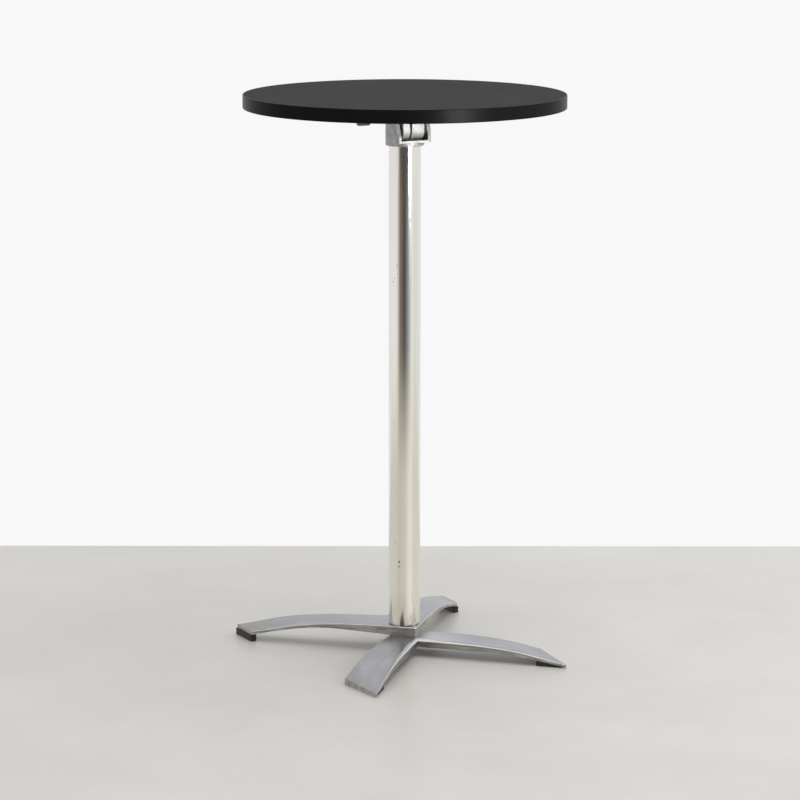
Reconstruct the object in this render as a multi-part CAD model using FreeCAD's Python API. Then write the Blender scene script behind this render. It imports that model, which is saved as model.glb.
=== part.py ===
"""Nesting flip-top poseur table.

A round board tips up on a locking hinge at the top of a tube column. Two stacked pairs of
cast legs sit at different heights, so that folded tables nest. Millimetres, +Z up. The origin
is on the floor under the column, X runs along the hinge and the board tips towards -Y.
"""

import math
import os

import FreeCAD
import Part

Vec = FreeCAD.Vector

# Overall sizes
HEIGHT = 1063.0
TOP_DIAMETER = 600.0
TOP_THICKNESS = 25.0
LAMINATE = 0.8
EDGE_BAND = 2.0
EDGE_ROUND = 1.5
UNDERSIDE = HEIGHT - TOP_THICKNESS

# Hinge
HINGE_Y = -24.0
HINGE_Z = UNDERSIDE - 41.0
PIN_DIAMETER = 10.0
LUG_RADIUS = 17.0
LUG_RUN = 0.6
BUSH_WALL = 1.6
BUSH_PLAY = 0.05
SIDE_PLAY = 0.3
LUG_A = (-25.5, -12.0)
LUG_B = (-7.5, 18.0)

# Bracket under the board
PLATE = 6.0
PLATE_BOTTOM = UNDERSIDE - PLATE
ARM_REACH = 150.0
ARM_WIDTH = 40.0
RIB_DEPTH = 7.0
RIB_WIDTH = 6.0
SCREW_SHANK = 4.0
SCREW_HEAD = 9.0
SCREW_DEPTH = 16.0

# Head casting
HEAD_HALF = 36.0
HEAD_FRONT = HINGE_Y - 14.0
CHEEK = 8.0
COLLAR_BOTTOM = HINGE_Z - 29.0
SHELF_BOTTOM = HINGE_Z - 22.0
REAR_FLOOR = HINGE_Z - 4.0
HEAD_PLUG_LENGTH = 46.0
CHEEK_SWEEP = PLATE_BOTTOM - HINGE_Z - 0.5
CHEEK_LEAN = 16.0
PIN_START = 2.0 - HEAD_HALF
PIN_SCREW = 4.0
PIN_SCREW_LENGTH = 8.0

# Lock
DISC_RADIUS = 13.0
DISC_THICK = 3.6
NOTCH_WIDTH = 8.0
NOTCH_DEPTH = 3.2
NOTCH_ANGLE = 15.3
LEVER_Y = HINGE_Y + 22.0
LEVER_RISE = 26.0
LEVER_Z = HINGE_Z + LEVER_RISE
LEVER_PIN = 6.0
NOSE_GAP = 0.35
NOSE_ANGLE = 8.0
TAIL_END = 143.0
TAIL_LOW = LEVER_Z - 13.0
TAIL_HIGH = LEVER_Z - 4.0
PADDLE_WIDTH = 28.0
PADDLE_LOW = LEVER_Z - 32.0
SPRING_Y = 26.0
SPRING_RADIUS = 4.2
SPRING_WIRE = 1.4

# Column and tie rod
COLUMN_DIAMETER = 60.0
COLUMN_WALL = 2.0
COLUMN_TOP = HINGE_Z - 22.0
ROD_DIAMETER = 12.0
ROD_BOTTOM = 5.0
ROD_TOP = COLUMN_TOP - 8.0
PLUG_LENGTH = 42.0
FIT = 0.1

# Leg castings
HUB_TOP = 54.0
JOINT_Z = 34.5
LOW_BOTTOM = 18.5
LEG_WALL = 5.0
LEG_SKIN = 6.0
HUB_RADIUS = 40.0
HIGH_END = 228.5
FLANGE = 7.0
SHOE_WALL = 2.5
SHOE_HEIGHT = 12.0
SHOE_FLOOR = 5.0
TOP_EDGE_ROUND = 2.5
LOW_EDGE_ROUND = 1.6
LOW_FRONT_ROUND = 8.0
FLANGE_FRONT = 195.5
HIGH_PLAN = [(0, -46), (228.5, 195.5), (228.5, 258), (0, 60), (-228.5, 258), (-228.5, 195.5)]
LOW_HALF = [(0, -53), (202, -260), (210, -154), (0, 25)]
HIGH_CREST = [(50, 53.5), (100, 50.4), (140, 45.2), (160, 41.0),
              (180, 35.3), (200, 28.6), (216, 23.4), (228.5, 20.5)]
HIGH_BELLY = [(216, 17.0), (200, 23.0), (180, 29.2), (161, 34.2),
              (140, 38.0), (119, 39.6), (80, 38.8), (46, 37.2)]
LOW_CREST = [(40, 34.5), (70, 33.8), (100, 32.1), (127, 29.0),
             (155, 23.9), (175, 18.4), (196, 12.2), (222, 7.0)]
LOW_BELLY = [(222, 2.6), (196, 6.8), (176, 11.4), (152, 15.6), (130, 17.8), (100, 18.5)]
LOW_SKEW = 0.26
PAD_START = 160.0
PAD_BACK = -172.0
PAD_INSET = 2.0
PAD_SCREW = 4.0
PAD_SCREW_TOP = 10.4
LIP = 4.0
LIP_GAP = 0.6


def cylinder(x, y, z, radius, height, axis=Vec(0, 0, 1)):
    return Part.makeCylinder(radius, height, Vec(x, y, z), axis)


def along_x(y, z, radius, x0, x1):
    return cylinder(x0, y, z, radius, x1 - x0, Vec(1, 0, 0))


def box(x0, x1, y0, y1, z0, z1):
    return Part.makeBox(x1 - x0, y1 - y0, z1 - z0, Vec(x0, y0, z0))


def plan_face(points):
    outline = [Vec(x, y, 0) for x, y in points]
    return Part.Face(Part.makePolygon(outline + outline[:1]))


def prism(face, z0, z1):
    solid = face.extrude(Vec(0, 0, z1 - z0))
    solid.translate(Vec(0, 0, z0))
    return solid


def spline(points):
    curve = Part.BSplineCurve()
    curve.interpolate([Vec(x, 0, z) for x, z in points])
    return curve.toShape()


def line(a, b):
    return Part.makeLine(Vec(a[0], 0, a[1]), Vec(b[0], 0, b[1]))


def profile_solid(edges, reach=600.0):
    face = Part.Face(Part.Wire(Part.__sortEdges__(edges)))
    solid = face.extrude(Vec(0, 2 * reach, 0))
    solid.translate(Vec(0, -reach, 0))
    return solid


def side_plate(points, x0, x1):
    outline = [Vec(x0, y, z) for y, z in points]
    return Part.Face(Part.makePolygon(outline + outline[:1])).extrude(Vec(x1 - x0, 0, 0))


def save(name, shape):
    os.makedirs("parts", exist_ok=True)
    shape.exportStep("parts/" + name + ".step")


def group(solids):
    return Part.makeCompound(solids)


# The board, its face sheet and its edging
def screw_places():
    places = []
    for sx in (-1, 1):
        for sy in (-1, 1):
            for reach in (ARM_REACH - 14, ARM_REACH - 52):
                places.append((sx * reach / math.sqrt(2), sy * reach / math.sqrt(2)))
    return places


def top_board():
    radius = TOP_DIAMETER / 2 - EDGE_BAND
    board = cylinder(0, 0, UNDERSIDE, radius, TOP_THICKNESS - LAMINATE)
    for x, y in screw_places():
        board = board.cut(cylinder(x, y, UNDERSIDE, SCREW_SHANK / 2, SCREW_DEPTH))
    return board


def top_laminate():
    return cylinder(0, 0, HEIGHT - LAMINATE, TOP_DIAMETER / 2 - EDGE_BAND, LAMINATE)


def top_edge_band():
    ring = cylinder(0, 0, UNDERSIDE, TOP_DIAMETER / 2, TOP_THICKNESS)
    rims = [e for e in ring.Edges if e.Length > TOP_DIAMETER * 3 and e.isClosed()]
    ring = ring.makeFillet(EDGE_ROUND, rims)
    return ring.cut(cylinder(0, 0, UNDERSIDE, TOP_DIAMETER / 2 - EDGE_BAND, TOP_THICKNESS))


# The bracket: a four-armed plate with two hinge lugs
def lug(x0, x1):
    front = HINGE_Y - LUG_RADIUS
    rear = HINGE_Y + LUG_RADIUS
    web = side_plate([(front, PLATE_BOTTOM), (front, HINGE_Z), (rear, HINGE_Z),
                      (LEVER_Y + 9, LEVER_Z - 2), (LEVER_Y + 9, PLATE_BOTTOM)], x0, x1)
    return web.fuse(along_x(HINGE_Y, HINGE_Z, LUG_RADIUS, x0, x1))


def side_rib(centre):
    low = PLATE_BOTTOM - RIB_DEPTH
    edge = centre - RIB_WIDTH / 2
    outline = [Vec(66, edge, PLATE_BOTTOM), Vec(66, edge, low), Vec(ARM_REACH, edge, PLATE_BOTTOM)]
    return Part.Face(Part.makePolygon(outline + outline[:1])).extrude(Vec(0, RIB_WIDTH, 0))


def bracket_arm(angle):
    arm = box(0, ARM_REACH, -ARM_WIDTH / 2, ARM_WIDTH / 2, PLATE_BOTTOM, UNDERSIDE)
    arm = arm.fuse(cylinder(ARM_REACH, 0, PLATE_BOTTOM, ARM_WIDTH / 2, PLATE))
    for side in (-1, 1):
        arm = arm.fuse(side_rib(side * (ARM_WIDTH - RIB_WIDTH) / 2))
    arm.rotate(Vec(0, 0, 0), Vec(0, 0, 1), angle)
    return arm


def mounting_bracket():
    plate = cylinder(0, 0, PLATE_BOTTOM, 66, PLATE)
    for angle in (45, 135, 225, 315):
        plate = plate.fuse(bracket_arm(angle))
    for x0, x1 in (LUG_A, LUG_B):
        plate = plate.fuse(lug(x0, x1))
    plate = plate.removeSplitter()
    bush = PIN_DIAMETER / 2 + BUSH_PLAY + BUSH_WALL
    plate = plate.cut(along_x(HINGE_Y, HINGE_Z, bush, LUG_A[0] - 1, LUG_B[1] + 1))
    plate = plate.cut(along_x(LEVER_Y, LEVER_Z, LEVER_PIN / 2, LUG_A[0] - 1, LUG_B[0] + 12))
    for x, y in screw_places():
        plate = plate.cut(cylinder(x, y, PLATE_BOTTOM - 20, SCREW_SHANK / 2 + 0.5, 40))
    return plate


def bracket_screws():
    screws = []
    for x, y in screw_places():
        head = Part.makeCone(SCREW_HEAD / 2 - 1.2, SCREW_HEAD / 2, 2.6, Vec(x, y, PLATE_BOTTOM - 2.6))
        shank = cylinder(x, y, PLATE_BOTTOM, SCREW_SHANK / 2, PLATE + SCREW_DEPTH - 1)
        recess = box(x - 2.2, x + 2.2, y - 0.6, y + 0.6, PLATE_BOTTOM - 3, PLATE_BOTTOM - 1.2)
        cross = box(x - 0.6, x + 0.6, y - 2.2, y + 2.2, PLATE_BOTTOM - 3, PLATE_BOTTOM - 1.2)
        screws.append(head.fuse(shank).cut(recess).cut(cross))
    return group(screws)


# The hinge
def head_outline():
    rear = Part.Arc(Vec(HEAD_HALF, 0, 0), Vec(0, HEAD_HALF, 0), Vec(-HEAD_HALF, 0, 0)).toShape()
    left = Part.makeLine(Vec(-HEAD_HALF, 0, 0), Vec(-HEAD_HALF, HEAD_FRONT, 0))
    front = Part.makeLine(Vec(-HEAD_HALF, HEAD_FRONT, 0), Vec(HEAD_HALF, HEAD_FRONT, 0))
    right = Part.makeLine(Vec(HEAD_HALF, HEAD_FRONT, 0), Vec(HEAD_HALF, 0, 0))
    return Part.Face(Part.Wire([rear, left, front, right]))


def hinge_head():
    body = prism(head_outline(), SHELF_BOTTOM, PLATE_BOTTOM)
    front = [e for e in body.Edges if abs(e.CenterOfMass.y - HEAD_FRONT) < 0.1]
    body = body.makeFillet(6.0, [e for e in front if e.BoundBox.ZLength > 1])
    collar = cylinder(0, 0, COLLAR_BOTTOM, HEAD_HALF, SHELF_BOTTOM - COLLAR_BOTTOM + 2)
    body = body.fuse(collar).removeSplitter()
    rims = [e for e in body.Edges if abs(e.CenterOfMass.z - COLLAR_BOTTOM) < 0.01]
    body = body.makeFillet(1.5, rims)
    inner = HEAD_HALF - CHEEK
    run = LUG_RADIUS + LUG_RUN
    body = body.cut(box(-inner, inner, HEAD_FRONT - 5, HINGE_Y, HINGE_Z - run, PLATE_BOTTOM + 5))
    body = body.cut(along_x(HINGE_Y, HINGE_Z, run, -inner, inner))
    body = body.cut(box(-inner, inner, HINGE_Y, 60, REAR_FLOOR, PLATE_BOTTOM + 5))
    nose = box(-60, 60, HEAD_FRONT - 10, HINGE_Y, HINGE_Z, PLATE_BOTTOM + 10)
    body = body.cut(nose.cut(along_x(HINGE_Y, HINGE_Z, CHEEK_SWEEP, -60, 60)))
    low = HINGE_Z - PIN_DIAMETER
    lean = [(HEAD_FRONT - 5, low), (HEAD_FRONT, low), (HEAD_FRONT + CHEEK_LEAN, PLATE_BOTTOM + 1),
            (HEAD_FRONT - 5, PLATE_BOTTOM + 1)]
    body = body.cut(side_plate(lean, -60, 60))
    bore = COLUMN_DIAMETER / 2 + FIT
    body = body.cut(cylinder(0, 0, COLLAR_BOTTOM - 1, bore, COLUMN_TOP - COLLAR_BOTTOM + 1))
    spigot = COLUMN_DIAMETER / 2 - COLUMN_WALL - FIT
    body = body.fuse(cylinder(0, 0, COLUMN_TOP - HEAD_PLUG_LENGTH, spigot, HEAD_PLUG_LENGTH + 1))
    bore_start = COLUMN_TOP - HEAD_PLUG_LENGTH - 1
    body = body.cut(cylinder(0, 0, bore_start, ROD_DIAMETER / 2, ROD_TOP + 4 - bore_start))
    body = body.cut(along_x(HINGE_Y, HINGE_Z, PIN_DIAMETER / 2, PIN_START, HEAD_HALF + 1))
    for screw in pin_screws(HINGE_Z, CHEEK_SWEEP + 2):
        body = body.cut(screw)
    for angle in (60, 120):
        body = body.cut(set_screw(angle, 0.0))
    return body


def set_screw(angle, socket):
    middle = (COLLAR_BOTTOM + COLUMN_TOP) / 2
    screw = cylinder(COLUMN_DIAMETER / 2, 0, middle, 2.5, 6.0, Vec(1, 0, 0))
    if socket:
        screw = screw.cut(cylinder(COLUMN_DIAMETER / 2 + 3.5, 0, middle, socket, 4, Vec(1, 0, 0)))
    screw.rotate(Vec(0, 0, 0), Vec(0, 0, 1), angle)
    return screw


def head_set_screws():
    return group([set_screw(angle, 1.3) for angle in (60, 120)])


def hinge_pin():
    pin = along_x(HINGE_Y, HINGE_Z, PIN_DIAMETER / 2, PIN_START, HEAD_HALF)
    ends = [e for e in pin.Edges if e.isClosed()]
    return pin.makeChamfer(0.8, ends)


def pin_screws(start, length):
    middle = HEAD_HALF - CHEEK + 3.0
    return [cylinder(x, HINGE_Y, start, PIN_SCREW / 2, length) for x in (-middle, middle)]


def hinge_pin_screws():
    start = HINGE_Z + PIN_DIAMETER / 2
    screws = []
    for screw in pin_screws(start, PIN_SCREW_LENGTH):
        place = screw.CenterOfMass
        socket = cylinder(place.x, place.y, start + PIN_SCREW_LENGTH - 2, PIN_SCREW / 4, 3)
        screws.append(screw.cut(socket))
    return group(screws)


def tube_x(outer, inner, x0, x1):
    return along_x(HINGE_Y, HINGE_Z, outer, x0, x1).cut(along_x(HINGE_Y, HINGE_Z, inner, x0, x1))


def hinge_bushes():
    inner = PIN_DIAMETER / 2 + BUSH_PLAY
    return group([tube_x(inner + BUSH_WALL, inner, x0, x1) for x0, x1 in (LUG_A, LUG_B)])


def hinge_spacers():
    inner = HEAD_HALF - CHEEK
    left = tube_x(9.0, PIN_DIAMETER / 2, -inner, LUG_A[0] - SIDE_PLAY)
    right = tube_x(9.0, PIN_DIAMETER / 2, LUG_B[1] + SIDE_PLAY, inner)
    return group([left, right])


# The lock between the two lugs
def slot_middle():
    return (LUG_A[1] + LUG_B[0]) / 2


def lock_disc():
    x0 = slot_middle() - DISC_THICK / 2
    disc = tube_x(DISC_RADIUS, PIN_DIAMETER / 2, x0, x0 + DISC_THICK)
    for turn in (0, 90):
        notch = box(x0, x0 + DISC_THICK, HINGE_Y + DISC_RADIUS - NOTCH_DEPTH, HINGE_Y + 20,
                    HINGE_Z - NOTCH_WIDTH / 2, HINGE_Z + NOTCH_WIDTH / 2)
        notch.rotate(Vec(0, HINGE_Y, HINGE_Z), Vec(1, 0, 0), NOTCH_ANGLE + turn)
        disc = disc.cut(notch)
    return disc


def release_lever():
    x0 = slot_middle() - DISC_THICK / 2
    x1 = x0 + DISC_THICK
    reach = DISC_RADIUS + NOSE_GAP
    angle = math.radians(NOSE_ANGLE)
    tip = (HINGE_Y + reach * math.cos(angle), HINGE_Z + reach * math.sin(angle))
    nose = side_plate([(tip[0], tip[1] - 2.4), (tip[0] + 6.5, tip[1] - 3.4), (LEVER_Y + 6, LEVER_Z),
                       (LEVER_Y - 6, LEVER_Z), (tip[0], tip[1] + 2.4)], x0, x1)
    lever = along_x(LEVER_Y, LEVER_Z, 6.0, x0, x1).fuse(nose)
    tail = side_plate([(LEVER_Y, LEVER_Z + 6), (LEVER_Y - 1, LEVER_Z - 6), (16, TAIL_LOW),
                       (TAIL_END, TAIL_LOW - 2), (TAIL_END, TAIL_HIGH - 3), (20, TAIL_HIGH)], x0, x1)
    lever = lever.fuse(tail)
    middle = slot_middle()
    left = middle - PADDLE_WIDTH / 2
    paddle = box(left, left + PADDLE_WIDTH, TAIL_END - 1, TAIL_END + 3, PADDLE_LOW, TAIL_HIGH - 3)
    corners = [e for e in paddle.Edges if e.tangentAt(e.FirstParameter).y ** 2 > 0.9]
    paddle = paddle.makeFillet(4.0, corners)
    seat = cylinder(middle, SPRING_Y, TAIL_LOW + 1, 5.0, TAIL_HIGH - TAIL_LOW - 1)
    lever = lever.fuse(paddle).fuse(seat).removeSplitter()
    return lever.cut(along_x(LEVER_Y, LEVER_Z, LEVER_PIN / 2 + BUSH_PLAY, x0 - 1, x1 + 1))


def lever_pin():
    return along_x(LEVER_Y, LEVER_Z, LEVER_PIN / 2, LUG_A[0], LUG_B[0] + 12)


def lever_spring():
    length = PLATE_BOTTOM - TAIL_HIGH
    pitch = (length - SPRING_WIRE) / 4.0
    helix = Part.makeHelix(pitch, length - SPRING_WIRE, SPRING_RADIUS)
    turns = [math.radians(22.5 + 45 * i) for i in range(8)]
    half = SPRING_WIRE / 2
    ring = [Vec(SPRING_RADIUS + half * math.cos(a), 0, half * math.sin(a)) for a in turns]
    coil = Part.Wire(helix).makePipeShell([Part.makePolygon(ring + ring[:1])], True, True)
    coil.translate(Vec(slot_middle(), SPRING_Y, TAIL_HIGH + SPRING_WIRE / 2))
    return coil


# The column and what holds it
def column_tube():
    tube = cylinder(0, 0, HUB_TOP, COLUMN_DIAMETER / 2, COLUMN_TOP - HUB_TOP)
    return tube.cut(cylinder(0, 0, HUB_TOP, COLUMN_DIAMETER / 2 - COLUMN_WALL, COLUMN_TOP - HUB_TOP))


def column_plug():
    radius = COLUMN_DIAMETER / 2 - COLUMN_WALL - FIT
    plug = cylinder(0, 0, HUB_TOP, radius, PLUG_LENGTH)
    rim = [e for e in plug.Edges if e.CenterOfMass.z > HUB_TOP + PLUG_LENGTH - 1]
    plug = plug.makeChamfer(2.0, rim)
    return plug.cut(cylinder(0, 0, HUB_TOP, ROD_DIAMETER / 2 + 0.5, PLUG_LENGTH))


def tie_rod():
    rod = cylinder(0, 0, ROD_BOTTOM, ROD_DIAMETER / 2, ROD_TOP - ROD_BOTTOM)
    return rod.makeChamfer(1.0, [e for e in rod.Edges if e.isClosed()])


def tie_rod_washer():
    washer = cylinder(0, 0, LOW_BOTTOM - 2.5, 16.0, 2.5)
    return washer.cut(cylinder(0, 0, LOW_BOTTOM - 2.5, ROD_DIAMETER / 2 + 0.5, 2.5))


def tie_rod_nut():
    turns = [math.radians(a) for a in range(0, 360, 60)]
    flats = [Vec(10.4 * math.cos(a), 10.4 * math.sin(a), 0) for a in turns]
    nut = prism(Part.Face(Part.makePolygon(flats + flats[:1])), LOW_BOTTOM - 12.5, LOW_BOTTOM - 2.5)
    return nut.cut(cylinder(0, 0, 0, ROD_DIAMETER / 2, 40))


# The upper pair of legs
def high_profile(drop):
    left = [(-x, z) for x, z in reversed(HIGH_CREST)]
    return spline([(x, z - drop) for x, z in left + [(0, HUB_TOP)] + HIGH_CREST])


def high_block():
    crest = high_profile(0)
    end = HIGH_END
    foot = HIGH_END - FLANGE
    belly = spline(HIGH_BELLY[::-1])
    right = [line((end, HIGH_CREST[-1][1]), (end, SHOE_FLOOR)), line((end, SHOE_FLOOR), (foot, SHOE_FLOOR)),
             line((foot, SHOE_FLOOR), (foot, 15.5)), line((foot, 15.5), HIGH_BELLY[0]), belly,
             line(HIGH_BELLY[-1], (30, JOINT_Z))]
    left = [edge.mirror(Vec(0, 0, 0), Vec(1, 0, 0)) for edge in right]
    return profile_solid([crest, line((30, JOINT_Z), (-30, JOINT_Z))] + right + left)


def high_hollow():
    face = plan_face(HIGH_PLAN).makeOffset2D(-LEG_WALL)
    hollow = prism(face, 0, 100)
    crest = high_profile(LEG_SKIN)
    end = HIGH_CREST[-1]
    low = [(end[0], end[1] - LEG_SKIN), (end[0], -10), (-end[0], -10), (-end[0], end[1] - LEG_SKIN)]
    space = profile_solid([crest, line(low[0], low[1]), line(low[1], low[2]), line(low[2], low[3])])
    hollow = hollow.common(space).common(box(-195, 195, -300, 300, 0, 100))
    return hollow.cut(cylinder(0, 0, 0, HUB_RADIUS, 100))


def round_plan(solid, y, radius):
    middle = [e for e in solid.Edges if abs(e.CenterOfMass.x) < 0.1 and abs(e.CenterOfMass.y - y) < 0.1]
    return solid.makeFillet(radius, middle)


def upper_legs():
    plan = prism(plan_face(HIGH_PLAN), 0, 100)
    plan = round_plan(plan, HIGH_PLAN[0][1], 4.0)
    plan = round_plan(plan, HIGH_PLAN[3][1], 24.0)
    legs = plan.common(high_block())
    legs = soften(legs, TOP_EDGE_ROUND)
    legs = legs.cut(high_hollow())
    for side in (-1, 1):
        legs = legs.cut(box(*sorted((side * 219, side * 240)), 150, FLANGE_FRONT, 0, 14.5))
    legs = legs.cut(cylinder(0, 0, 0, ROD_DIAMETER / 2 + 0.5, 100))
    for x in (-24, 24):
        legs = legs.cut(cylinder(x, 0, JOINT_Z, 4.0, 9.0))
    return legs


def soften(legs, radius):
    tops = [f for f in legs.Faces if f.normalAt(*f.Surface.parameter(f.CenterOfMass)).z > 0.3]
    uses = {}
    for face in tops:
        for edge in face.Edges:
            uses.setdefault(edge.hashCode(), []).append(edge)
    rims = [same[0] for same in uses.values() if len(same) == 1]
    return legs.makeFillet(radius, [e for e in rims if e.BoundBox.XLength > 15 and not on_low_front(e)])


# The lower pair of legs
def skew_angle():
    return math.degrees(math.atan2(LOW_SKEW, 1 - LOW_SKEW))


def skewed(points):
    norm = math.hypot(LOW_SKEW, 1 - LOW_SKEW)
    return [(q / norm, z) for q, z in points]


def low_slice():
    """Solid between the right arm's crest and belly, drawn across the arm's slanting contour lines."""
    top = skewed(LOW_CREST)
    bottom = skewed(LOW_BELLY)
    inner_top = (-120, top[0][1])
    inner_low = (-120, bottom[-1][1])
    edges = [line(inner_top, top[0]), spline(top), line(top[-1], bottom[0]), spline(bottom),
             line(bottom[-1], inner_low), line(inner_low, inner_top)]
    solid = profile_solid(edges)
    solid.rotate(Vec(0, 0, 0), Vec(0, 0, 1), -skew_angle())
    return solid


def both_arms(right):
    return right.fuse(right.mirror(Vec(0, 0, 0), Vec(1, 0, 0))).removeSplitter()


def low_hollow():
    left = [(-x, y) for x, y in LOW_HALF[2:0:-1]]
    face = plan_face(LOW_HALF + left).makeOffset2D(-LEG_WALL)
    hollow = prism(face, 0, 60)
    sunk = [(q, z - LEG_SKIN) for q, z in LOW_CREST]
    hollow = hollow.common(low_under(sunk)).common(box(-150, 150, -300, 300, 0, 60))
    return hollow.cut(cylinder(0, 0, 0, HUB_RADIUS, 60))


def low_under(points):
    curve = skewed(points)
    first = (-120, curve[0][1])
    last = (curve[-1][0], -5.0)
    inner = (-120, -5.0)
    edges = [line(first, curve[0]), spline(curve), line(curve[-1], last),
             line(last, inner), line(inner, first)]
    solid = profile_solid(edges)
    solid.rotate(Vec(0, 0, 0), Vec(0, 0, 1), -skew_angle())
    half = solid.common(box(0, 300, -400, 400, -10, 100))
    return half.fuse(half.mirror(Vec(0, 0, 0), Vec(1, 0, 0)))


def lower_legs():
    plan = prism(plan_face(LOW_HALF), 0, 60)
    right = plan.common(low_slice())
    tip, heel = LOW_HALF[1], LOW_HALF[2]
    strip = plan_face([tip, heel, (heel[0] - LIP, heel[1]), (tip[0] - LIP, tip[1])])
    nose = plan.common(prism(strip, LIP_GAP, 40)).common(low_under(LOW_CREST))
    right = right.fuse(nose).removeSplitter()
    legs = soften(both_arms(right), LOW_EDGE_ROUND)
    for side in (-1, 1):
        legs = round_front(legs, side)
    legs = legs.cut(low_hollow())
    legs = legs.cut(cylinder(0, 0, 0, ROD_DIAMETER / 2 + 0.5, 100))
    for x in (-24, 24):
        legs = legs.cut(cylinder(x, 0, JOINT_Z - 9.0, 4.0, 9.0))
    for x, y in pad_screw_places():
        legs = legs.cut(cylinder(x, y, 0, PAD_SCREW / 2, PAD_SCREW_TOP))
    return legs


def on_low_front(edge):
    middle = edge.CenterOfMass
    return abs(middle.y - low_front(abs(middle.x))) < 3


def round_front(legs, side):
    """Rounds one arm's front top edge, fully at the hub and hardly at the tip."""
    long_edges = [e for e in legs.Edges if e.BoundBox.XLength > 150 and on_low_front(e)]
    ours = [e for e in long_edges if side * e.CenterOfMass.x > 0]
    edge = max(ours, key=lambda e: e.CenterOfMass.z)
    from_hub = abs(edge.valueAt(edge.FirstParameter).x) < 100
    first, last = (LOW_FRONT_ROUND, LOW_EDGE_ROUND) if from_hub else (LOW_EDGE_ROUND, LOW_FRONT_ROUND)
    return legs.makeFillet(first, last, [edge])


def leg_dowels():
    return group([cylinder(x, 0, JOINT_Z - 9.0, 4.0, 18.0) for x in (-24, 24)])


# Feet
def high_foot(side):
    inner = HIGH_END - FLANGE
    corner = HIGH_PLAN[2][1]
    back = corner - FLANGE * (corner - HIGH_PLAN[3][1]) / HIGH_END
    flange = plan_face([(inner, FLANGE_FRONT), (HIGH_END, FLANGE_FRONT), (HIGH_END, corner), (inner, back)])
    shoe = prism(flange.makeOffset2D(SHOE_WALL), 0, SHOE_HEIGHT)
    shoe = shoe.cut(prism(flange, SHOE_FLOOR, SHOE_HEIGHT + 1))
    return shoe if side > 0 else shoe.mirror(Vec(0, 0, 0), Vec(1, 0, 0))


def pad_plan():
    return plan_face(pad_corners())


def pad_corners():
    tip, heel = LOW_HALF[1], LOW_HALF[2]
    end = tip[0] - LIP
    back = end + (heel[0] - tip[0]) * (PAD_BACK - tip[1]) / (heel[1] - tip[1])
    return [(PAD_START, low_front(PAD_START)), (end, low_front(end)), (back, PAD_BACK)]


def low_front(x):
    start, tip = LOW_HALF[0], LOW_HALF[1]
    return start[1] + (tip[1] - start[1]) * x / tip[0]


def pad_screw_places():
    across = sum(x for x, y in pad_corners()) / 3
    along = sum(y for x, y in pad_corners()) / 3
    return [(-across, along), (across, along)]


def low_foot(side):
    pad = prism(pad_plan().makeOffset2D(-PAD_INSET), 0, 40).common(low_under(LOW_BELLY[::-1]))
    x, y = pad_screw_places()[1]
    pad = pad.cut(cylinder(x, y, -1, PAD_SCREW / 2, 40))
    pad = pad.cut(Part.makeCone(4.0, PAD_SCREW / 2, 2.4, Vec(x, y, 0)))
    return pad if side > 0 else pad.mirror(Vec(0, 0, 0), Vec(1, 0, 0))


def foot_screws():
    screws = []
    for x, y in pad_screw_places():
        shank = cylinder(x, y, 2.4, PAD_SCREW / 2, PAD_SCREW_TOP - 2.4)
        screw = Part.makeCone(3.6, PAD_SCREW / 2, 2.0, Vec(x, y, 0.4)).fuse(shank)
        screws.append(screw.cut(box(x - 2.4, x + 2.4, y - 0.4, y + 0.4, 0, 1.2)))
    return group(screws)


PIECES = {
    "top_board": top_board, "top_laminate": top_laminate, "top_edge_band": top_edge_band,
    "mounting_bracket": mounting_bracket, "bracket_screws": bracket_screws,
    "hinge_head": hinge_head, "head_set_screws": head_set_screws, "hinge_pin": hinge_pin,
    "hinge_pin_screws": hinge_pin_screws, "hinge_bushes": hinge_bushes, "hinge_spacers": hinge_spacers,
    "lock_disc": lock_disc, "release_lever": release_lever, "lever_pin": lever_pin,
    "lever_spring": lever_spring,
    "column_tube": column_tube, "column_plug": column_plug, "tie_rod": tie_rod,
    "tie_rod_washer": tie_rod_washer, "tie_rod_nut": tie_rod_nut,
    "upper_legs": upper_legs, "lower_legs": lower_legs, "leg_dowels": leg_dowels,
    "foot_screws": foot_screws,
}

for node, make in PIECES.items():
    save(node, make())
for side, word in ((-1, "left"), (1, "right")):
    save("high_foot_" + word, high_foot(side))
    save("low_foot_" + word, low_foot(side))
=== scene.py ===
import math

import bpy
from mathutils import Matrix, Quaternion, Vector


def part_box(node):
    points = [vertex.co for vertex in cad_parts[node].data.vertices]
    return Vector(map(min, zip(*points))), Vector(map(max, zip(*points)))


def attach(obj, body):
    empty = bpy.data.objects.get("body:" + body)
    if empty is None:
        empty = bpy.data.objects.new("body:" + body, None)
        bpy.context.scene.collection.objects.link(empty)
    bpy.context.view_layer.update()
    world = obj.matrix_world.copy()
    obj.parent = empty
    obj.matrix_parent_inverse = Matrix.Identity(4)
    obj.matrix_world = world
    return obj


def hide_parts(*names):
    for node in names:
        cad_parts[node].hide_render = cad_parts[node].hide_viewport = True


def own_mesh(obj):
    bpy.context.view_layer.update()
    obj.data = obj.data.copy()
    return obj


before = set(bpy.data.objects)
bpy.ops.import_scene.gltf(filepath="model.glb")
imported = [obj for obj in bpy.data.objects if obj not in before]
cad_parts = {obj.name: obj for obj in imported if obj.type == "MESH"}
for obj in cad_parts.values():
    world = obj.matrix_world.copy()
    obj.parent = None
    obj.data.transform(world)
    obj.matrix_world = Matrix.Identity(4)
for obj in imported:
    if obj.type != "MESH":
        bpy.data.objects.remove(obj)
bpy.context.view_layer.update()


# Lower pair of legs. One aluminium casting with two arms that sweep forward and
# thin out to flat tips. The top is linished along each arm and scuffed at the tips, with a painted
# highlight by the hub and on the rounded edges, and the sides keep the darker, duller skin of the
# mould.
def knot(tree, kind, values=None, **settings):
    made = tree.nodes.new(kind)
    for key, value in settings.items():
        setattr(made, key, value)
    for key, value in (values or {}).items():
        made.inputs[key].default_value = value
    return made


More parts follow.
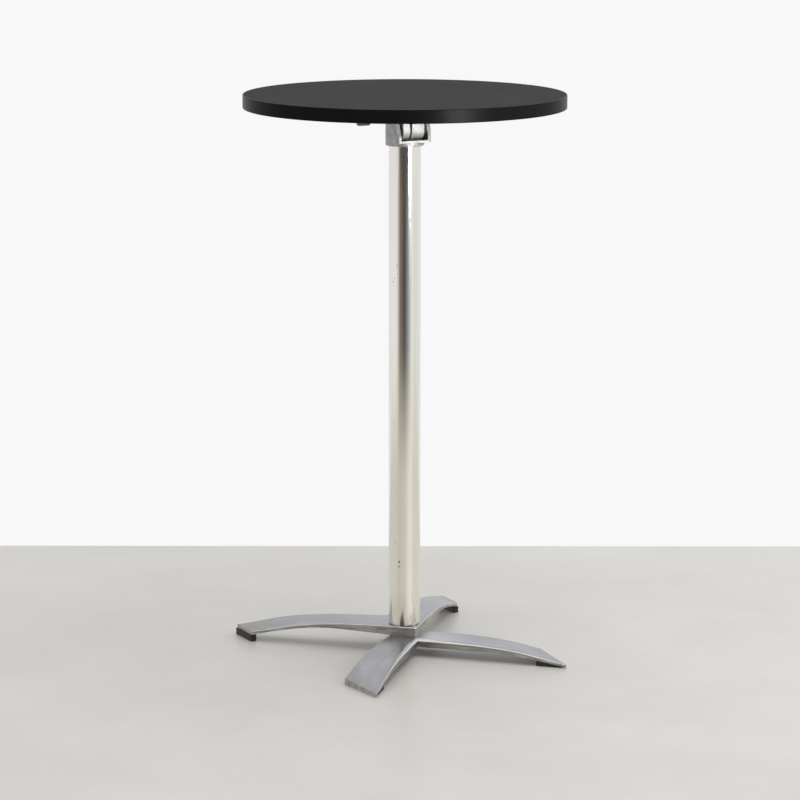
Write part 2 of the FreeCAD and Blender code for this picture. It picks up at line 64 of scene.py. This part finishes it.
def new_finish(name):
    finish = bpy.data.materials.new(name)
    finish.use_nodes = True
    tree = finish.node_tree
    where = knot(tree, "ShaderNodeTexCoord").outputs
    return finish, tree, tree.nodes["Principled BSDF"], where


def tint(tree, source, stops):
    ramp = knot(tree, "ShaderNodeValToRGB")
    tree.links.new(source, ramp.inputs["Fac"])
    marks = ramp.color_ramp.elements
    while len(marks) < len(stops):
        marks.new(0.5)
    for mark, (place, colour) in zip(marks, stops):
        mark.position = place
        mark.color = (*colour, 1.0)
    return ramp.outputs["Color"]


def spread(tree, source, low, high, start=0.3, end=0.7):
    scale = knot(tree, "ShaderNodeMapRange",
                 {"From Min": start, "From Max": end, "To Min": low, "To Max": high})
    tree.links.new(source, scale.inputs["Value"])
    return scale.outputs["Result"]


def combine(tree, operation, first, second):
    both = knot(tree, "ShaderNodeMath", operation=operation)
    tree.links.new(first, both.inputs[0])
    tree.links.new(second, both.inputs[1])
    return both.outputs[0]


def blotches(tree, place, size, detail=4.0, stretch=(1, 1, 1), turn=0.0):
    lay = knot(tree, "ShaderNodeMapping",
               {"Scale": [1 / share for share in stretch], "Rotation": (0, 0, turn)},
               vector_type="TEXTURE")
    noise = knot(tree, "ShaderNodeTexNoise", {"Scale": size, "Detail": detail, "Roughness": 0.6})
    tree.links.new(place, lay.inputs["Vector"])
    tree.links.new(lay.outputs["Vector"], noise.inputs["Vector"])
    return noise.outputs["Fac"]


def blend_colour(tree, share, first, second):
    mix = knot(tree, "ShaderNodeMix", data_type="RGBA")
    tree.links.new(share, mix.inputs[0])
    tree.links.new(first, mix.inputs[6])
    tree.links.new(second, mix.inputs[7])
    return mix.outputs[2]


def relief(tree, shader, source, strength, depth):
    bump = knot(tree, "ShaderNodeBump", {"Strength": strength, "Distance": depth})
    tree.links.new(source, bump.inputs["Height"])
    tree.links.new(bump.outputs["Normal"], shader.inputs["Normal"])


def dress(finish, *nodes):
    for name in nodes:
        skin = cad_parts[name].data.materials
        skin.clear()
        skin.append(finish)


def linished_casting(name, sweep, hub_highlight=0.0):
    finish, tree, shader, where = new_finish(name)
    split = knot(tree, "ShaderNodeSeparateXYZ")
    tree.links.new(where["Object"], split.inputs["Vector"])
    fold = knot(tree, "ShaderNodeMath", operation="ABSOLUTE")
    tree.links.new(split.outputs["X"], fold.inputs[0])
    from_hub = fold.outputs[0]
    arm = knot(tree, "ShaderNodeCombineXYZ")
    tree.links.new(from_hub, arm.inputs["X"])
    for axis in "YZ":
        tree.links.new(split.outputs[axis], arm.inputs[axis])
    along = arm.outputs["Vector"]
    belt = blotches(tree, along, 1.0, 3.0, (26, 900, 900), sweep)
    stain = blotches(tree, along, 1.0, 8.0, (30, 90, 160), sweep)
    cloud = blotches(tree, along, 1.0, 2.0, (9, 34, 34), sweep)
    half = knot(tree, "ShaderNodeMix", {"Factor": 0.5})
    tree.links.new(belt, half.inputs["A"])
    tree.links.new(cloud, half.inputs["B"])
    grain = half.outputs["Result"]

    linished = tint(tree, grain, [(0.36, (0.28, 0.283, 0.31)), (0.5, (0.36, 0.364, 0.39)),
                                  (0.64, (0.46, 0.465, 0.49))])
    dull = tint(tree, stain, [(0.36, (0.19, 0.187, 0.18)), (0.62, (0.36, 0.353, 0.34))])
    tip_start, tip_end = 0.165, 0.215
    scuffed = combine(tree, "MULTIPLY", spread(tree, from_hub, 0.0, 1.0, tip_start, tip_end),
                      spread(tree, stain, 0.35, 1.0, 0.38, 0.6))
    tops = blend_colour(tree, scuffed, linished, dull)
    if hub_highlight:
        # Painted highlight: the top is lightened close to the hub.
        hub_edge, arm_start = 0.03, 0.10
        hub_highlight_tone = tint(tree, belt, [(0.3, (0.50, 0.50, 0.515)), (0.7, (0.62, 0.62, 0.635))])
        hub_highlight_share = spread(tree, from_hub, hub_highlight, 0.0, hub_edge, arm_start)
        tops = blend_colour(tree, hub_highlight_share, tops, hub_highlight_tone)

    facing = knot(tree, "ShaderNodeSeparateXYZ")
    tree.links.new(where["Normal"], facing.inputs["Vector"])
    upward = facing.outputs["Z"]
    mould = tint(tree, stain, [(0.36, (0.25, 0.24, 0.225)), (0.62, (0.44, 0.425, 0.40))])
    skin = blend_colour(tree, spread(tree, upward, 0.0, 1.0, 0.30, 0.55), mould, tops)
    # Painted highlight: a brighter tone on the rounded edges, picked out by how steeply they slant.
    edge_highlight_share = combine(tree, "MULTIPLY", spread(tree, upward, 0.0, 1.0, 0.40, 0.52),
                    spread(tree, upward, 1.0, 0.0, 0.68, 0.82))
    edge_highlight_tone = tint(tree, belt, [(0.3, (0.60, 0.60, 0.59)), (0.7, (0.78, 0.78, 0.76))])
    tree.links.new(blend_colour(tree, edge_highlight_share, skin, edge_highlight_tone), shader.inputs["Base Color"])
    tree.links.new(spread(tree, grain, 0.28, 0.40, 0.38, 0.62), shader.inputs["Roughness"])
    relief(tree, shader, belt, 0.3, 0.0003)
    shader.inputs["Metallic"].default_value = 1.0
    return finish


dress(linished_casting("lower_leg_casting", math.radians(-45), hub_highlight=0.65), "lower_legs")


# Pads under the lower tips. Moulded black rubber wedges, each held by one
# countersunk zinc screw from below.
def flecked(name, fleck, tones, gloss, pits=None, metal=0.0):
    finish, tree, shader, where = new_finish(name)
    flecks = blotches(tree, where["Object"], *fleck)
    tree.links.new(tint(tree, flecks, tones), shader.inputs["Base Color"])
    tree.links.new(spread(tree, flecks, *gloss), shader.inputs["Roughness"])
    if pits:
        size, detail, strength, depth = pits
        relief(tree, shader, blotches(tree, where["Object"], size, detail), strength, depth)
    shader.inputs["Metallic"].default_value = metal
    return finish


rubber = flecked("moulded_rubber", fleck=(60.0, 6.0),
                 tones=[(0.35, (0.009, 0.008, 0.008)), (0.75, (0.028, 0.026, 0.024))],
                 gloss=(0.55, 0.8), pits=(900.0, 2.0, 0.2, 0.0002))
zinc = flecked("zinc_plate", fleck=(260.0, 3.0),
               tones=[(0.35, (0.42, 0.43, 0.45)), (0.7, (0.60, 0.60, 0.60))],
               gloss=(0.26, 0.42), pits=(260.0, 3.0, 0.1, 0.0001), metal=1.0)
dress(rubber, "low_foot_left", "low_foot_right")
dress(zinc, "foot_screws")


# Upper pair of legs and their shoes. A second casting sits flat on the first,
# kept square by two ground dowels. Its end flanges stand in black rubber shoes.
ground = flecked("ground_steel", fleck=(1.0, 2.0, (1500, 60, 60)),
                 tones=[(0.3, (0.50, 0.50, 0.51)), (0.7, (0.64, 0.64, 0.64))],
                 gloss=(0.16, 0.3), metal=1.0)
dress(linished_casting("upper_leg_casting", math.radians(45)), "upper_legs")
dress(rubber, "high_foot_left", "high_foot_right")
dress(ground, "leg_dowels")


# Column. A drawn aluminium tube, polished lengthwise, with fine scratches, a few
# scuffs, some grime just above the legs and a thin band of painted shade where it meets them. A rod
# inside clamps it down.
def polished_tube():
    finish, tree, shader, where = new_finish("polished_tube")
    place = where["Object"]
    draw = blotches(tree, place, 1.0, 3.0, (900, 900, 5))
    scuff = blotches(tree, place, 1.0, 8.0, (70, 70, 26))
    metal = tint(tree, draw, [(0.3, (0.74, 0.72, 0.67)), (0.7, (0.82, 0.80, 0.75))])
    grime_and_shade_tone = tint(tree, scuff, [(0.35, (0.10, 0.085, 0.065)), (0.65, (0.40, 0.37, 0.32))])
    split = knot(tree, "ShaderNodeSeparateXYZ")
    tree.links.new(place, split.inputs["Vector"])
    height = split.outputs["Z"]

    grime_low, grime_high = 0.056, 0.13
    film = combine(tree, "MULTIPLY", spread(tree, height, 0.35, 0.0, grime_low, grime_high),
                   spread(tree, scuff, 0.0, 1.0, 0.45, 0.60))
    # Painted shade: a thin dark band at the very foot of the tube, where it meets the legs.
    contact_shade_low, contact_shade_high = 0.0545, 0.0590
    marks = [spread(tree, scuff, 0.0, 0.5, 0.66, 0.74),
             spread(tree, height, 0.85, 0.0, contact_shade_low, contact_shade_high)]
    knocks = [((-0.0223, -0.0201, 0.180), 0.0023), ((-0.0228, -0.0195, 0.171), 0.0016),
              ((-0.0289, -0.0080, 0.715), 0.0014), ((-0.0279, -0.0110, 0.722), 0.0011)]
    for spot, size in knocks:
        gap = knot(tree, "ShaderNodeVectorMath", operation="DISTANCE")
        gap.inputs[1].default_value = spot
        tree.links.new(place, gap.inputs[0])
        marks.append(spread(tree, gap.outputs["Value"], 1.0, 0.0, size * 0.6, size * 1.2))
    wear_and_shade = film
    for mark in marks:
        wear_and_shade = combine(tree, "MAXIMUM", wear_and_shade, mark)

    tree.links.new(blend_colour(tree, wear_and_shade, metal, grime_and_shade_tone), shader.inputs["Base Color"])
    tree.links.new(spread(tree, draw, 0.07, 0.13), shader.inputs["Roughness"])
    relief(tree, shader, draw, 0.05, 0.0001)
    shader.inputs["Metallic"].default_value = 1.0
    return finish


dress(polished_tube(), "column_tube")
dress(zinc, "tie_rod", "tie_rod_washer", "tie_rod_nut")


# Hinge head, plug and bracket. Blasted aluminium castings: the head's collar covers
# the end of the tube, its two cheeks carry the hinge pin, and the bracket's lugs
# hang on that pin.
def blasted_casting(name, dark, light):
    finish, tree, shader, where = new_finish(name)
    shade = blotches(tree, where["Object"], 55.0, 6.0)
    sand = blotches(tree, where["Object"], 1400.0, 2.0)
    tree.links.new(tint(tree, shade, [(0.3, dark), (0.7, light)]), shader.inputs["Base Color"])
    tree.links.new(spread(tree, sand, 0.48, 0.66), shader.inputs["Roughness"])
    relief(tree, shader, sand, 0.35, 0.0003)
    shader.inputs["Metallic"].default_value = 1.0
    return finish


dress(blasted_casting("blasted_head", (0.31, 0.31, 0.305), (0.48, 0.48, 0.47)),
      "hinge_head", "column_plug", "mounting_bracket")
dress(zinc, "head_set_screws", "lock_disc", "hinge_pin_screws")
dress(ground, "hinge_pin", "lever_pin")


# Bushes and spacers. Turned black nylon rings, pressed into the bracket's lugs and
# slipped over the hinge pin, that keep the hinge quiet and stop it from rattling.
nylon = flecked("turned_nylon", fleck=(1.0, 2.0, (2200, 90, 90)),
                tones=[(0.3, (0.018, 0.018, 0.019)), (0.7, (0.034, 0.034, 0.035))],
                gloss=(0.4, 0.55))
dress(nylon, "hinge_bushes", "hinge_spacers")


# Release lever. A small casting with the same blasted skin in darker tones all over.
dress(blasted_casting("dark_blasted_lever", (0.15, 0.15, 0.15), (0.27, 0.27, 0.27)), "release_lever")


# Spring of the lever. Four turns of round spring wire between the lever's tail and
# the bracket.
def size_input(tree, name):
    return tree.interface.new_socket(name, in_out="INPUT", socket_type="NodeSocketFloat").identifier


def coat_and_end(tree, source, finish):
    tree.interface.new_socket("Geometry", in_out="OUTPUT", socket_type="NodeSocketGeometry")
    whole = knot(tree, "GeometryNodeRealizeInstances")
    coat = knot(tree, "GeometryNodeSetMaterial", {"Material": finish})
    made = knot(tree, "NodeGroupOutput")
    tree.links.new(source, whole.inputs["Geometry"])
    tree.links.new(whole.outputs["Geometry"], coat.inputs["Geometry"])
    tree.links.new(coat.outputs["Geometry"], made.inputs["Geometry"])


def plain_mesh(piece, tree, sizes):
    bpy.context.scene.collection.objects.link(piece)
    row = piece.modifiers.new("row", "NODES")
    row.node_group = tree
    for key, size in sizes.items():
        row[key] = size
    view = bpy.context.evaluated_depsgraph_get()
    mesh = bpy.data.meshes.new_from_object(piece.evaluated_get(view))
    piece.modifiers.remove(row)
    return mesh


def coil_tree(finish):
    tree = bpy.data.node_groups.new("lever_coil_turns", "GeometryNodeTree")
    keys = [size_input(tree, name) for name in ("Coil radius", "Coil height", "Wire radius")]
    given = knot(tree, "NodeGroupInput").outputs
    turns = knot(tree, "GeometryNodeCurveSpiral", {"Resolution": 32, "Rotations": 4.0})
    section = knot(tree, "GeometryNodeCurvePrimitiveCircle", {"Resolution": 12})
    swept = knot(tree, "GeometryNodeCurveToMesh", {"Fill Caps": True})
    tree.links.new(given["Coil radius"], turns.inputs["Start Radius"])
    tree.links.new(given["Coil radius"], turns.inputs["End Radius"])
    tree.links.new(given["Coil height"], turns.inputs["Height"])
    tree.links.new(given["Wire radius"], section.inputs["Radius"])
    tree.links.new(turns.outputs["Curve"], swept.inputs["Curve"])
    tree.links.new(section.outputs["Curve"], swept.inputs["Profile Curve"])
    coat_and_end(tree, swept.outputs["Mesh"], finish)
    return tree, keys


low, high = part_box("lever_spring")
coil_radius, wire_radius = 0.0042, 0.0007
coil_height = high.z - low.z - 2 * wire_radius
coil = bpy.data.objects.new("lever_coil", bpy.data.meshes.new("lever_coil_start"))
coil_turns, coil_keys = coil_tree(ground)
coil_sizes = dict(zip(coil_keys, (coil_radius, coil_height, wire_radius)))
coil_mesh = plain_mesh(coil, coil_turns, coil_sizes)
middle = (low + high) / 2
coil_mesh.transform(Matrix.Translation((middle.x, middle.y, low.z + wire_radius)))
coil.data = coil_mesh
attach(coil, "top")
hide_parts("lever_spring")
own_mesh(coil)


# Screws of the bracket. Eight zinc screws with tapered heads and cross recesses,
# driven up through the bracket's arms into the board.
def screw_tree(finish):
    tree = bpy.data.node_groups.new("bracket_screw_row", "GeometryNodeTree")
    tree.interface.new_socket("Geometry", in_out="INPUT", socket_type="NodeSocketGeometry")
    keys = [size_input(tree, name) for name in ("Head radius", "Head height")]
    given = knot(tree, "NodeGroupInput").outputs
    head = knot(tree, "GeometryNodeMeshCone", {"Vertices": 28, "Side Segments": 5})
    face_share = 0.62
    face = knot(tree, "ShaderNodeMath", operation="MULTIPLY")
    face.inputs[1].default_value = face_share
    tree.links.new(given["Head radius"], face.inputs[0])
    tree.links.new(face.outputs[0], head.inputs["Radius Bottom"])
    tree.links.new(given["Head radius"], head.inputs["Radius Top"])
    tree.links.new(given["Head height"], head.inputs["Depth"])
    recess = knot(tree, "GeometryNodeMeshBoolean", operation="DIFFERENCE", solver="EXACT")
    tree.links.new(head.outputs["Mesh"], recess.inputs["Mesh 1"])
    slot_length, slot_width, slot_depth = 0.0046, 0.0012, 0.0026
    for size in ((slot_length, slot_width, slot_depth), (slot_width, slot_length, slot_depth)):
        slot = knot(tree, "GeometryNodeMeshCube", {"Size": size})
        tree.links.new(slot.outputs["Mesh"], recess.inputs["Mesh 2"])
    seat = knot(tree, "GeometryNodeInstanceOnPoints")
    tree.links.new(given["Geometry"], seat.inputs["Points"])
    tree.links.new(recess.outputs["Mesh"], seat.inputs["Instance"])
    coat_and_end(tree, seat.outputs["Instances"], finish)
    return tree, keys


low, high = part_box("bracket_screws")
outer_ring, inner_ring = 0.136, 0.098
head_radius, head_height = 0.0045, 0.0026
seats = []
for side in (-1, 1):
    for front in (-1, 1):
        for ring in (outer_ring, inner_ring):
            seats.append((side * ring / math.sqrt(2), front * ring / math.sqrt(2), low.z))
spots = bpy.data.meshes.new("bracket_screw_spots")
spots.from_pydata(seats, [], [])
screws = bpy.data.objects.new("bracket_screw_heads", spots)
screw_row, screw_keys = screw_tree(zinc)
screws.data = plain_mesh(screws, screw_row, dict(zip(screw_keys, (head_radius, head_height))))
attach(screws, "top")
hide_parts("bracket_screws")


# Board. A particle board core with a black backing, faced with a satin black
# laminate and edged with a 2 mm strip whose arrises are rounded.
def satin_black(name, dark, light, gloss, shine):
    finish, tree, shader, where = new_finish(name)
    cloud = blotches(tree, where["Object"], 9.0, 6.0)
    pore = blotches(tree, where["Object"], 1900.0, 2.0)
    tree.links.new(tint(tree, cloud, [(0.3, dark), (0.7, light)]), shader.inputs["Base Color"])
    tree.links.new(spread(tree, pore, gloss - 0.05, gloss + 0.05), shader.inputs["Roughness"])
    relief(tree, shader, pore, 0.12, 0.0001)
    shader.inputs["Specular IOR Level"].default_value = shine
    return finish


backing = flecked("backed_board", fleck=(240.0, 5.0),
                  tones=[(0.35, (0.010, 0.010, 0.010)), (0.7, (0.024, 0.023, 0.022))],
                  gloss=(0.5, 0.7), pits=(240.0, 5.0, 0.15, 0.0002))
laminate = satin_black("laminate_face", (0.021, 0.021, 0.022), (0.026, 0.026, 0.027),
                       gloss=0.55, shine=0.012)
edging = satin_black("edge_strip", (0.0047, 0.0047, 0.0049), (0.0065, 0.0065, 0.0067),
                     gloss=0.34, shine=0.042)
dress(backing, "top_board")
dress(laminate, "top_laminate")
dress(edging, "top_edge_band")


# Stage. A plain pale floor that ends behind the table, in front of a white wall.
# Polished metal sees a painted reflection: past the legs the floor glows for glossy rays only,
# light close by and darker towards the camera, in a room that is white all round and dim in front.
view_heading = math.radians(28.9)
ahead = Vector((math.sin(view_heading), math.cos(view_heading), 0))
across = Vector((math.cos(view_heading), -math.sin(view_heading), 0))


def bearing_share(tree, source, widest):
    sides = []
    for way in (across, -ahead):
        share = knot(tree, "ShaderNodeVectorMath", operation="DOT_PRODUCT")
        share.inputs[1].default_value = way
        tree.links.new(source, share.inputs[0])
        sides.append(share.outputs["Value"])
    return spread(tree, combine(tree, "ARCTAN2", *sides), 0.0, 1.0, -widest, widest)


def pale_floor():
    finish, tree, shader, where = new_finish("pale_floor")
    place = where["Object"]
    cloud = blotches(tree, place, 3.0, 5.0)
    tone = tint(tree, cloud, [(0.3, (0.628, 0.610, 0.578)), (0.7, (0.693, 0.675, 0.642))])
    tree.links.new(tone, shader.inputs["Base Color"])
    shader.inputs["Roughness"].default_value = 0.34
    shader.inputs["Specular IOR Level"].default_value = 0.25

    bearing = bearing_share(tree, place, math.radians(70))
    near = tint(tree, bearing, [(0.0, (0.74, 0.72, 0.66)), (0.25, (0.66, 0.64, 0.58)),
                                (0.5, (0.70, 0.68, 0.62)), (0.78, (0.97, 0.95, 0.88)),
                                (1.0, (0.80, 0.78, 0.72))])
    far = tint(tree, bearing, [(0.05, (0.98, 0.98, 0.97)), (0.15, (0.72, 0.70, 0.66)),
                               (0.25, (0.26, 0.21, 0.155)), (0.36, (0.20, 0.17, 0.14)),
                               (0.46, (0.075, 0.07, 0.072)), (0.56, (0.15, 0.15, 0.155)),
                               (0.67, (0.34, 0.34, 0.345)), (0.78, (0.66, 0.66, 0.65)),
                               (0.89, (1.0, 1.0, 0.98)), (1.0, (0.88, 0.88, 0.86))])
    length = knot(tree, "ShaderNodeVectorMath", operation="LENGTH")
    tree.links.new(place, length.inputs[0])
    distance = length.outputs["Value"]
    near_end, far_start = 1.6, 3.3
    # Painted reflection: past the legs the floor glows for glossy rays only, light near and dark
    # towards the camera.
    glow = knot(tree, "ShaderNodeEmission")
    painted_reflection = blend_colour(tree, spread(tree, distance, 0.0, 1.0, near_end, far_start), near, far)
    tree.links.new(painted_reflection, glow.inputs["Color"])

    under_legs, past_legs = 0.12, 0.38
    rays = knot(tree, "ShaderNodeLightPath").outputs
    share = combine(tree, "MULTIPLY", rays["Is Glossy Ray"],
                    spread(tree, distance, 0.0, 1.0, under_legs, past_legs))
    laid = knot(tree, "ShaderNodeMixShader")
    tree.links.new(share, laid.inputs[0])
    tree.links.new(shader.outputs[0], laid.inputs[1])
    tree.links.new(glow.outputs[0], laid.inputs[2])
    tree.links.new(laid.outputs[0], tree.nodes["Material Output"].inputs["Surface"])
    return finish


floor_back, floor_side = 0.84, 7
corners = [ahead * floor_back - across * floor_side, ahead * floor_back + across * floor_side,
           ahead * -floor_side + across * floor_side, ahead * -floor_side - across * floor_side]
floor_sheet = bpy.data.meshes.new("floor")
floor_sheet.from_pydata([tuple(c) for c in corners], [], [(3, 2, 1, 0)])
floor_sheet.materials.append(pale_floor())
floor = bpy.data.objects.new("floor", floor_sheet)
bpy.context.scene.collection.objects.link(floor)


def pick_shader(tree, share, first, second):
    pick = knot(tree, "ShaderNodeMixShader")
    tree.links.new(share, pick.inputs[0])
    tree.links.new(first, pick.inputs[1])
    tree.links.new(second, pick.inputs[2])
    return pick.outputs[0]


room = bpy.data.worlds.new("room")
room.use_nodes = True
bpy.context.scene.world = room
tree = room.node_tree
tree.nodes.clear()
dim_turn = math.radians(4)
dim_side = -ahead * math.cos(dim_turn) - across * math.sin(dim_turn)
front = knot(tree, "ShaderNodeVectorMath", operation="DOT_PRODUCT")
front.inputs[1].default_value = dim_side
tree.links.new(knot(tree, "ShaderNodeTexCoord").outputs["Generated"], front.inputs[0])
dim = spread(tree, front.outputs["Value"], 0.0, 1.0, 0.72, 0.86)
mirror = knot(tree, "ShaderNodeBackground", {"Strength": 1.0})
tree.links.new(tint(tree, dim, [(0.0, (0.93, 0.93, 0.94)), (1.0, (0.10, 0.09, 0.085))]),
               mirror.inputs["Color"])
wall = knot(tree, "ShaderNodeBackground", {"Color": (0.94, 0.935, 0.95, 1), "Strength": 1.0})
fill = knot(tree, "ShaderNodeBackground", {"Color": (1, 1, 1, 1), "Strength": 0.55})
rays = knot(tree, "ShaderNodeLightPath").outputs
lit = pick_shader(tree, rays["Is Glossy Ray"], fill.outputs[0], mirror.outputs[0])
shown = pick_shader(tree, rays["Is Camera Ray"], lit, wall.outputs[0])
tree.links.new(shown, knot(tree, "ShaderNodeOutputWorld").inputs["Surface"])


def soft_lamp(name, place, aim, size, power, beam=180):
    data = bpy.data.lights.new(name, "AREA")
    data.shape = "RECTANGLE"
    data.size, data.size_y = size
    data.energy = power
    data.spread = math.radians(beam)
    lamp = bpy.data.objects.new(name, data)
    lamp.location = place
    lamp.rotation_euler = (Vector(aim) - Vector(place)).to_track_quat("-Z", "Y").to_euler()
    bpy.context.scene.collection.objects.link(lamp)


soft_lamp("overhead", (0.3, -0.4, 3.4), (0, 0, 0.5), (3.0, 3.0), 60)
box_turn, box_distance, box_height = math.radians(36), 2.0, 0.95
box = (across * math.sin(box_turn) - ahead * math.cos(box_turn)) * box_distance
soft_lamp("edge_softbox", (box.x, box.y, box_height), (0, 0, 1.0), (0.6, 0.5), 1.8, beam=36)
soft_lamp("right_window", (3.2, -2.2, 2.4), (0, 0, 0.4), (1.6, 1.6), 30)

lens = bpy.data.cameras.new("photo_view")
lens.sensor_width = 36.0
lens.lens = 141.8
camera = bpy.data.objects.new("photo_view", lens)
camera.location = (-2.820, -5.0935, 1.617)
aim = Vector((0.4742, 0.8595, -0.1906)).to_track_quat("-Z", "Y")
roll = Quaternion((0, 0, 1), math.radians(0.05))
camera.rotation_euler = (aim @ roll).to_euler()
bpy.context.scene.collection.objects.link(camera)
bpy.context.scene.camera = camera
bpy.context.scene.view_settings.view_transform = "Standard"
